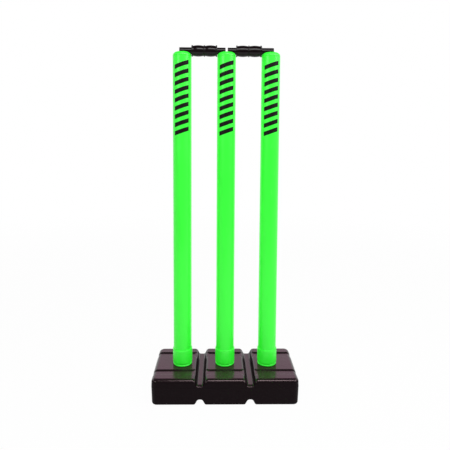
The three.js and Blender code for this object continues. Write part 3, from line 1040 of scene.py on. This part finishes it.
BAIL_BLACK = small_black(
    "bail_black_turned", (0.004, 0.0012, 0.0022), rough=0.1, specular=0.24, rings=BAIL_RINGS)
BUNG_BLACK = small_black("bung_black_satin", (0.010, 0.007, 0.008), rough=0.34, specular=0.2)
SEAL_RUBBER = small_black(
    "seal_matt_rubber", (0.018, 0.018, 0.019), rough=0.74, specular=0.3, grain_scale=2200.0)
print("small blacks:", BAIL_BLACK.name, BUNG_BLACK.name, SEAL_RUBBER.name)

# %% The sand
SAND_SCALE = 1500.0
SAND_DARK = (0.36, 0.24, 0.12)
SAND_LIGHT = (0.62, 0.47, 0.27)
SAND_ROUGH = 0.9
SAND_RELIEF = 0.4 * MM


def sand_finish():
    finish, bench, place = new_finish("sand_ballast_grains")
    grains = bench.add(
        "ShaderNodeTexVoronoi", {"feature": "F1"}, {"Vector": place, "Scale": SAND_SCALE})
    tint = bench.add("ShaderNodeTexWhiteNoise", {"noise_dimensions": "3D"}, {
        "Vector": bench.other(grains, "Position")})
    color = blend(bench, tint, SAND_DARK, SAND_LIGHT)
    close_finish(bench, plastic(bench, color, SAND_ROUGH, bump(bench, 1 - grains, SAND_RELIEF)))
    return finish


SAND = sand_finish()
print("finishes:", len(bpy.data.materials))

# %% [markdown]
# ## Turning the pieces
# One function feeds the lathe tree. The outline becomes a line of points, the tree sweeps
# it, and the result is copied out as a plain mesh, so that no modifier is left. Long
# straight runs get a support point close to each end, because smooth shading would smear
# the bend of a rounded edge along the whole run. The piece is then laid along its own axis
# and moved to its place in its mesh, while its object stays at the origin.

# %% One function for every turned piece
SUPPORT_DISTANCE = 0.25 * MM
LONG_RUN = 5 * SUPPORT_DISTANCE
CAP_STEPS_ROUND = 160
STUMP_STEPS_ROUND = 128
SMALL_STEPS_ROUND = 96
ALONG_X = Matrix.Rotation(math.radians(90), 4, "Y")
ALONG_Y = Matrix.Rotation(math.radians(-90), 4, "X")


def arc(across_centre, up_centre, radius, first, last, steps):
    """Points on an arc between two angles in degrees."""
    angles = np.radians(np.linspace(first, last, steps + 1))
    return [(across_centre + radius * math.cos(a), up_centre + radius * math.sin(a)) for a in angles]


def supported(outline):
    """The outline with a point close to each end of every long run."""
    points = [outline[0]]
    for start, end in zip(outline, outline[1:]):
        start, end = np.array(start), np.array(end)
        length = np.linalg.norm(end - start)
        if length > LONG_RUN:
            step = (end - start) / length * SUPPORT_DISTANCE
            points += [start + step, end - step]
        points.append(end)
    return points


def apply_modifiers(piece):
    """Copies out what the modifiers make, as a plain mesh."""
    result = piece.evaluated_get(bpy.context.evaluated_depsgraph_get())
    mesh = bpy.data.meshes.new_from_object(result)
    piece.modifiers.clear()
    piece.data = mesh


def settle(piece, matrix):
    """Moves a piece in its own mesh, so that its object stays at the origin."""
    piece.data.transform(matrix)
    return piece


def turned(name, outline, steps_round, finish):
    """A closed turned piece about Z, from (radius, height) points."""
    line = bpy.data.meshes.new(name)
    points = [(radius, 0, height) for radius, height in outline]
    line.from_pydata(points, [(i, i + 1) for i in range(len(points) - 1)], [])
    piece = add_object(name, line)
    lathe = piece.modifiers.new("lathe", "NODES")
    lathe.node_group = LATHE
    inputs = {"Steps Round": steps_round, "Finish": finish}
    for socket in LATHE.interface.items_tree:
        if socket.name in inputs:
            lathe[socket.identifier] = inputs[socket.name]
    apply_modifiers(piece)
    piece.data.name = name
    edit_mesh(piece.data, clean)
    return piece


def on_each_stump(part, outline, steps_round, finish, cut=None):
    """The same turned piece on all three stumps, cut before it is moved there."""
    pieces = []
    for side, place in zip(SIDES, stump_places):
        piece = turned(f"stump_{side}_{part}", outline, steps_round, finish)
        if cut:
            cut(piece.data)
        pieces.append(settle(piece, Matrix.Translation((place, 0, 0))))
    return pieces


def ring_line(bore, radius, low, high, rounding, steps):
    """The outline of a ring or a tube, from the middle of its bore all the way round."""
    middle = (low + high) / 2
    return soft_line([
        (bore, middle, 0), (bore, low, rounding), (radius, low, rounding),
        (radius, high, rounding), (bore, high, rounding), (bore, middle, 0),
    ], steps)


print("turning ready: Z to X and Z to Y")

# %% [markdown]
# ## Stumps
# Each stump is a drawn tube, 40 mm thick, closed by a cap on top and held by a foot below.
# The cap's skirt carries the same diameter as the tube, so that only a fine seam shows. Its
# rounded top has one flat-bottomed groove across it, where the bails lie: the flat rings of
# the turned cap are lowered into the groove point by point, and a soft minimum rounds the
# groove's edges.

# %% Tubes
SEAM_ROUND = 0.3 * MM
TUBE_WALL = 2 * MM
shaft_bore = shaft_radius - TUBE_WALL
tube_line = ring_line(shaft_bore, shaft_radius, shaft_low.z, shaft_high.z, SEAM_ROUND, SHORT_STEPS)
tubes = on_each_stump("tube", supported(tube_line), STUMP_STEPS_ROUND, NEON_TUBE)
print("tube:", len(tubes[0].data.polygons), "faces")

# %% Caps
CAP_SKIRT = 8.7 * MM
CAP_SHOULDER = 7.5 * MM
CAP_TOP = 7 * MM
SHOULDER_STEPS = 18
CROWN_RINGS = 26
PLUG_WALL = 2.5 * MM
PLUG_OUTER_ROUND = 0.8 * MM
BAIL_GROOVE_HALF = 10 * MM
BAIL_GROOVE_FLOOR = 5 * MM
BAIL_GROOVE_DEPTH = 4.3 * MM
BAIL_GROOVE_ROUND = 1.5 * MM
GROOVE_EDGE = 0.5 * MM
bail_groove = soft_line([
    (0, -BAIL_GROOVE_DEPTH, 0), (BAIL_GROOVE_FLOOR, -BAIL_GROOVE_DEPTH, BAIL_GROOVE_ROUND),
    (2 * BAIL_GROOVE_HALF - BAIL_GROOVE_FLOOR, BAIL_GROOVE_DEPTH, 0),
])
skirt = stump_top - CAP_SKIRT
shoulder = stump_top - CAP_SHOULDER
ceiling = stump_top - CAP_TOP
plug = shaft_bore - CLEARANCE
plug_bore = plug - PLUG_WALL
flat = shaft_radius - CAP_SHOULDER
cap_inside = soft_line([
    (0, ceiling, 0), (plug_bore, ceiling, SOFT_ROUND),
    (plug_bore, cap_low.z, TIGHT_ROUND), (plug, cap_low.z, PLUG_OUTER_ROUND),
    (plug, skirt, 0), (shaft_radius, skirt, SEAM_ROUND), (shaft_radius, shoulder, 0),
], SHORT_STEPS)
crown = [(radius, stump_top) for radius in np.linspace(flat, 0, CROWN_RINGS)]
rounded = arc(flat, shoulder, CAP_SHOULDER, 0, 90, SHOULDER_STEPS)
cap_line = [*supported(cap_inside)[:-1], *rounded, *crown[1:]]


def cut_bail_groove(mesh):
    """Lowers the top of a cap into a flat-bottomed groove along X."""
    for vertex in mesh.vertices:
        if vertex.co.z < shoulder:
            continue
        floor = stump_top + across(bail_groove, abs(vertex.co.y))
        over = vertex.co.z - floor
        blend_share = min(max(0.5 + over / (2 * GROOVE_EDGE), 0), 1)
        vertex.co.z -= over * blend_share + GROOVE_EDGE * blend_share * (1 - blend_share)


caps = on_each_stump("crown", cap_line, CAP_STEPS_ROUND, NEON_PLAIN, cut_bail_groove)
print("cap:", len(caps[0].data.polygons), "faces, top at %.1f mm" % (stump_top / MM))

# %% [markdown]
# ## Feet
# The foot is one moulding: a collar that stands on the base and grips the tube, a floor
# under the tube, and a hollow spigot that drops into the socket. The collar's wall is thin
# and draws in a little towards its upper lip, whose bevel catches a thin line of light. At
# the bottom the wall swells inwards to a narrow waist, and a rim flares out again below it:
# the rim's slope is bright, and its rounded underside is dark above the black base.

# %% Feet
FOOT_FLOOR = 4 * MM
COLLAR_BEVEL = 0.9 * MM
COLLAR_BEVEL_ROUNDS = (0.2 * MM, 0.1 * MM, 0.05 * MM)
COLLAR_TAPER = 0.3 * MM
COLLAR_TAPER_HEIGHT = 4 * MM
COLLAR_FOOT_RISE = 8.5 * MM
RIM_RADIUS = 21.3 * MM
RIM_ROUND = 2 * MM
RIM_SLOPE = 0.75 * MM
CURVE_STEPS = 10
SPIGOT_RADIUS = 17 * MM
SPIGOT_BORE = 14.5 * MM
SPIGOT_CHAMFER = 1.5 * MM
collar_bore = shaft_radius + CLEARANCE
collar_bottom = base_height + CLEARANCE
foot_floor = collar_bottom + FOOT_FLOOR


def foot_outline():
    rim_centre = RIM_RADIUS - RIM_ROUND
    below = soft_line([
        (0, collar_bottom, 0), (SPIGOT_BORE, collar_bottom, SOFT_ROUND),
        (SPIGOT_BORE, foot_low.z, SMALL_ROUND), (SPIGOT_RADIUS, foot_low.z, SPIGOT_CHAMFER),
        (SPIGOT_RADIUS, collar_bottom, 0), (rim_centre, collar_bottom, 0),
    ], ROUND_STEPS)
    rim = arc(rim_centre, collar_bottom + RIM_ROUND, RIM_ROUND, -90, 45, CURVE_STEPS)
    waist = rim[-1][0] - RIM_SLOPE
    waist_height = rim[-1][1] + RIM_SLOPE
    bulge = collar_radius - waist
    rise = collar_bottom + COLLAR_FOOT_RISE - waist_height
    swelling = [
        (waist + bulge * math.sin(angle), waist_height + rise * (1 - math.cos(angle)))
        for angle in np.radians(np.linspace(0, 90, CURVE_STEPS + 1))
    ]
    lip = collar_radius - COLLAR_TAPER
    outer_round, upper_round, inner_round = COLLAR_BEVEL_ROUNDS
    top = soft_line([
        (*swelling[-1], 0), (collar_radius, foot_high.z - COLLAR_TAPER_HEIGHT, SMALL_ROUND),
        (lip, foot_high.z - COLLAR_BEVEL, outer_round), (lip - COLLAR_BEVEL, foot_high.z, upper_round),
        (collar_bore, foot_high.z, inner_round), (collar_bore, foot_floor, SMALL_ROUND),
        (0, foot_floor, 0),
    ], SHORT_STEPS)
    return [*supported(below)[:-1], *rim, *swelling[:-1], *supported(top)]


collars = on_each_stump("collar", foot_outline(), STUMP_STEPS_ROUND, NEON_PLAIN)
print("collar:", len(collars[0].data.polygons), "faces")

# %% [markdown]
# ## Bails
# A bail is turned from one rod: a short spigot towards the middle stump, a barrel with three
# raised beads and two gentle swells between them, and a longer spigot outwards. The barrel's
# two halves mirror each other, so one function draws either half of the outline, from the
# tip to the middle. The left bail is the right one, turned round.

# %% Bails
bail_low, bail_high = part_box("bail_right")
bail_axis = (bail_low.z + bail_high.z) / 2
barrel_middle = stump_pitch / 2
BEAD_ROOM = 0.02 * MM
half_barrel = barrel_middle - shaft_radius - CLEARANCE
BEAD_RADIUS = (bail_high.z - bail_low.z) / 2 - BEAD_ROOM
BEAD_WIDTH = 3 * MM
BEAD_SLOPE = 0.35 * MM
BEAD_ROUND = 0.6 * MM
NECK_RADIUS = 10.6 * MM
SWELL_RADIUS = 11.8 * MM
SWELL_POINTS = 15
BARREL_ROUND = 0.7 * MM
BAIL_SPIGOT_RADIUS = 7.3 * MM
TIP_CHAMFER = 0.8 * MM


def swell(start, end):
    """The points of a gentle swell between two necks, without the necks themselves."""
    return [
        (NECK_RADIUS + math.sin(math.pi * share) * (SWELL_RADIUS - NECK_RADIUS),
         start + (end - start) * share)
        for share in np.linspace(0, 1, SWELL_POINTS)[1:-1]
    ]


def bead_side(neck, crest):
    """One side of a bead, up from its neck to the middle of its crest."""
    slope = math.copysign(BEAD_SLOPE, crest - neck)
    return soft_line([
        (NECK_RADIUS, neck, 0), (BEAD_RADIUS, neck + slope, BEAD_ROUND), (BEAD_RADIUS, crest, 0),
    ], ROUND_STEPS)


def half_bail(tip, face):
    """The outline from a tip over the face of the barrel to the barrel's middle."""
    width = math.copysign(BEAD_WIDTH, barrel_middle - face)
    spigot = soft_line([
        (0, tip, 0), (BAIL_SPIGOT_RADIUS, tip, TIP_CHAMFER),
        (BAIL_SPIGOT_RADIUS, face, TIGHT_ROUND),
        (BEAD_RADIUS, face, BARREL_ROUND), (BEAD_RADIUS, face + width / 2, 0),
    ], ROUND_STEPS)
    end_bead = bead_side(face + width, face + width / 2)[::-1]
    middle_bead = bead_side(barrel_middle - width / 2, barrel_middle)
    swelling = swell(face + width, barrel_middle - width / 2)
    return [*supported(spigot), *end_bead[1:], *swelling, *middle_bead]


outer_half = half_bail(bail_high.x, barrel_middle + half_barrel)
bail_line = [*half_bail(bail_low.x, barrel_middle - half_barrel), *outer_half[-2::-1]]
bails = []
for side, half_turn in (("right", 0), ("left", math.pi)):
    bail = turned(f"bail_{side}_turned", bail_line, SMALL_STEPS_ROUND, BAIL_BLACK)
    settle(bail, Matrix.Translation((0, 0, bail_axis)) @ Matrix.Rotation(half_turn, 4, "Z") @ ALONG_X)
    bails.append(bail)
print("bail:", len(bails[0].data.polygons), "faces, %.1f mm long" % ((bail_high.x - bail_low.x) / MM))

# %% [markdown]
# ## Filler bung and seal
# The bung that keeps the sand in is turned too, and a bar across its head gives the fingers
# a grip. The bar is a block with rounded edges, joined to the head by an exact boolean, so
# that the bung stays one closed piece. The seal is a flat rubber ring with round edges.

# %% Bung
BUNG_HEAD = 15.5 * MM
BUNG_STEM = 10.7 * MM
BUNG_BORE = 8.5 * MM
HEAD_THICK = 2.8 * MM
HEAD_FRONT_ROUND = 0.9 * MM
BORE_ROUND = 0.8 * MM
STEM_ROOT_ROUND = 0.3 * MM
GRIP_HEIGHT = 2.4 * MM
GRIP_WIDTH = 5 * MM
GRIP_INSET = 1.6 * MM
GRIP_SUNK = 0.8 * MM
GRIP_ROUND = 0.9 * MM
GRIP_SEGMENTS = 5
CREASE_ANGLE = math.radians(40)
head_front = bung_high.y - GRIP_HEIGHT
head_back = head_front - HEAD_THICK
bung_line = soft_line([
    (0, head_back, 0), (BUNG_BORE, head_back, BORE_ROUND), (BUNG_BORE, bung_low.y, SMALL_ROUND),
    (BUNG_STEM, bung_low.y, SOFT_ROUND), (BUNG_STEM, head_back, STEM_ROOT_ROUND),
    (BUNG_HEAD, head_back, TIGHT_ROUND), (BUNG_HEAD, head_front, HEAD_FRONT_ROUND),
    (0, head_front, 0),
], ROUND_STEPS)


def make_grip(work):
    """A rounded block across the bung's head, sunk into it a little."""
    depth = GRIP_HEIGHT + GRIP_SUNK
    size = (2 * (BUNG_HEAD - GRIP_INSET), GRIP_WIDTH, depth)
    bmesh.ops.create_cube(work, size=1.0)
    bmesh.ops.scale(work, vec=size, verts=work.verts)
    bmesh.ops.translate(work, vec=(0, 0, head_front + GRIP_HEIGHT - depth / 2), verts=work.verts)
    bmesh.ops.bevel(
        work, geom=work.edges[:], offset=GRIP_ROUND, segments=GRIP_SEGMENTS, profile=0.5,
        affect="EDGES")


bung = turned("filler_plug_knob", supported(bung_line), SMALL_STEPS_ROUND, BUNG_BLACK)
bar = add_object("grip_bar", bpy.data.meshes.new("grip_bar"))
edit_mesh(bar.data, make_grip)
join = bung.modifiers.new("join", "BOOLEAN")
join.operation = "UNION"
join.solver = "EXACT"
join.object = bar
apply_modifiers(bung)
bpy.data.objects.remove(bar)
bung.data.materials.clear()
bung.data.materials.append(BUNG_BLACK)
bung.data.shade_smooth()
bung.data.set_sharp_from_angle(angle=CREASE_ANGLE)
settle(bung, Matrix.Translation((0, 0, FILLER_HEIGHT)) @ ALONG_Y)
print("bung:", len(bung.data.polygons), "faces")

# %% Seal
SEAL_INNER = 11.3 * MM
seal_outer = (seal_high.x - seal_low.x) / 2
seal_line = ring_line(SEAL_INNER, seal_outer, seal_low.y, seal_high.y, SMALL_ROUND, ROUND_STEPS)
seal = turned("filler_ring", seal_line, SMALL_STEPS_ROUND, SEAL_RUBBER)
settle(seal, Matrix.Translation((0, 0, FILLER_HEIGHT)) @ ALONG_Y)
print("seal:", len(seal.data.polygons), "faces")

# %% [markdown]
# ## Riding the frame
# Each finished piece now rides the body that it belongs to and hides the plain solid that it
# stands for. The sand keeps its solid, because it lies inside and shows only through the
# filler hole, and gets a finish of grains.

# %% Rides, replacements and slots
def finish_piece(piece, body, node):
    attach(piece, body)
    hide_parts(node)


base_mould.data.materials.append(BASE_BLACK)
finish_piece(base_mould, "base", "base_shell")
finish_piece(bung, "filler_plug", "filler_bung")
finish_piece(seal, "filler_plug", "filler_seal")
for side, tube, cap, collar in zip(SIDES, tubes, caps, collars):
    finish_piece(tube, f"stump_{side}", f"stump_{side}_shaft")
    finish_piece(cap, f"stump_{side}", f"stump_{side}_top_cap")
    finish_piece(collar, f"stump_{side}", f"stump_{side}_foot")
for bail, side in zip(bails, ("right", "left")):
    finish_piece(bail, f"bail_{side}", f"bail_{side}")
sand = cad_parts["sand_ballast"]
sand.data.materials.clear()
sand.data.materials.append(SAND)

# %% [markdown]
# ## Floor, world and lamps
# The set stands on white, in soft light. The world is white near the horizon and grey
# overhead, and far brighter behind the set than in front of it. So the top of the base shows
# a white horizon, with a dark line where its edge starts to round over, and the front stays
# dark. A low, broad lamp above the front, set off to the right, puts a fine highlight on
# that rounding, on the bails and on the right half of each collar's lip. Two larger lamps,
# one at the left in front and one at the right, fill in. The floor is white to the camera
# and in reflections. It keeps a faint shadow round the set, and further out it is as white
# as the world, so that no line shows where it ends. In front, past the end of the white
# sweep, its reflection is grey, which keeps the middle of the bails dark.

# %% The world
WHITE = (1.0, 1.0, 1.0)
OVERHEAD = (0.16, 0.16, 0.16)
SKY_STOPS = [(0.0, WHITE), (0.56, WHITE), (0.70, OVERHEAD)]
SKY_TURN = (-0.3, 0.3)
SKY_IN_FRONT = 0.32


def studio_world():
    world = bpy.data.worlds.new("white_studio")
    world.use_nodes = True
    bpy.context.scene.world = world
    world.node_tree.nodes.clear()
    bench = Bench(world.node_tree)
    _, back, height = bench.parts(bench.add("ShaderNodeTexCoord", None, None, "Generated"))
    color = bench.add("ShaderNodeValToRGB", {"stops": SKY_STOPS}, {"Fac": height})
    strength = SKY_IN_FRONT + back.step(*SKY_TURN) * (1 - SKY_IN_FRONT)
    path = bench.add("ShaderNodeLightPath")
    seen = bench.sum("MAXIMUM", path, bench.other(path, "Is Transmission Ray"))
    white = bench.add("ShaderNodeBackground", None, {"Color": WHITE, "Strength": 1.0})
    sky = bench.add("ShaderNodeBackground", None, {"Color": color, "Strength": strength})
    bench.add("ShaderNodeOutputWorld", None, {"Surface": mixed(bench, seen, sky, white)})


studio_world()
print("world:", bpy.context.scene.world.name)

# %% The floor
FLOOR_HALF = 6.0
FLOOR_WHITE = 0.97
FLOOR_NEAR = (0.9, 0.9, 0.9)
FLOOR_FAR = (0.25, 0.25, 0.25)
SHADOW_REACH = 0.8
SWEEP_END = -0.9
SWEEP_FADE = 0.5


def studio_floor():
    signs = ((-1, -1), (1, -1), (1, 1), (-1, 1))
    corners = [(x * FLOOR_HALF, y * FLOOR_HALF, 0) for x, y in signs]
    floor = mesh_piece("studio_floor", corners, [[0, 1, 2, 3]])
    finish, bench, place = new_finish("white_studio_floor")
    sweep = bench.parts(place)[1].step(SWEEP_END - SWEEP_FADE, SWEEP_END)
    path = bench.add("ShaderNodeLightPath")
    seen = bench.sum("MAXIMUM", path, bench.other(path, "Is Glossy Ray") * sweep)
    seen = bench.sum("MAXIMUM", seen, bench.other(path, "Is Transmission Ray"))
    distance = bench.add("ShaderNodeVectorMath", {"operation": "LENGTH"}, {0: place}, "Value")
    whiteness = FLOOR_WHITE + distance.step(SHADOW_REACH, FLOOR_HALF / 2) * (1 - FLOOR_WHITE)
    shade = blend(bench, sweep, FLOOR_FAR, FLOOR_NEAR)
    plain = bench.add("ShaderNodeBsdfDiffuse", None, {"Color": shade})
    white = bench.add("ShaderNodeEmission", None, {"Color": WHITE, "Strength": 1.0})
    close_finish(bench, mixed(bench, seen * whiteness, plain, white))
    floor.data.materials.append(finish)


studio_floor()
print("floor: %.0f m square" % (2 * FLOOR_HALF))

# %% The lamps
# Each lamp has a name, a place, a target, a width, a height and a power in watts.
LAMPS = (
    ("lamp_high_front", (0.27, -0.8, 1.38), (0.27, 0, 0.4), 1.0, 0.4, 9.2),
    ("lamp_front_left", (-1.9, -1.9, 1.5), (0, 0, 0.4), 1.2, 1.2, 20),
    ("lamp_right", (2.1, -0.9, 1.7), (0, 0, 0.4), 1.4, 1.4, 26),
)


def soft_lamp(name, place, target, width, height, power):
    lamp = bpy.data.lights.new(name, "AREA")
    lamp.shape = "RECTANGLE"
    lamp.size = width
    lamp.size_y = height
    lamp.energy = power
    direction = Vector(target) - Vector(place)
    turn = direction.to_track_quat("-Z", "Y").to_matrix().to_4x4()
    add_object(name, lamp).matrix_world = Matrix.Translation(place) @ turn


for lamp in LAMPS:
    soft_lamp(*lamp)
print("lamps:", len(bpy.data.lights))

# %% [markdown]
# ## Colour
# The plain Standard view shows a colour about as it is written.

# %% Set the view of colour
bpy.context.scene.view_settings.view_transform = "Standard"
